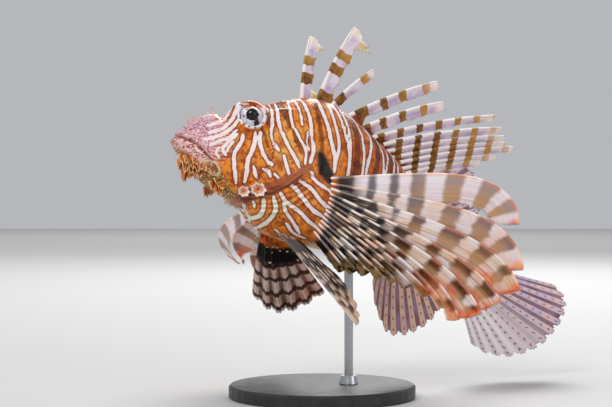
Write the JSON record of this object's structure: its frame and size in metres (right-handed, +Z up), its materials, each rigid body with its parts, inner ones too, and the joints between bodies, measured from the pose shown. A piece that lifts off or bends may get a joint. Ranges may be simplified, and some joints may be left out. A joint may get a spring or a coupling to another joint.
{
  "type": "lionfish",
  "caption": "Life-size red lionfish hovering with fan-like fins spread and long banded back spines raised, on a round display base with one rod.",
  "frame": {"origin": "middle of the underside of the display base", "axes": "+X from the snout towards the tail, -Y towards the fish's left side, +Z up"},
  "size_m": [0.2619, 0.1643, 0.233],
  "materials": {
    "skin": "satin, white lines on orange brown",
    "jaw": "satin, pale pink with a brown net",
    "fin": "satin, pale with brown bands",
    "eye": "glossy, black pupil",
    "base": "satin black",
    "rod": "brushed"
  },
  "bodies": {
    "root": {"head": "skin", "gill_cover_left": "skin", "gill_cover_right": "skin", "torso": "skin", "tail": "skin", "lower_jaw": "jaw", "eye_left": "eye", "eye_right": "eye", "dorsal_fin_front": "fin", "dorsal_fin_rear": "fin", "soft_dorsal_fin": "fin", "anal_fin": "fin", "caudal_fin": "fin", "pectoral_fin_left": "fin", "pectoral_fin_right": "fin", "pelvic_fin_left": "fin", "pelvic_fin_right": "fin", "stand_base": "base", "stand_rod": "rod"}
  },
  "joints": []
}
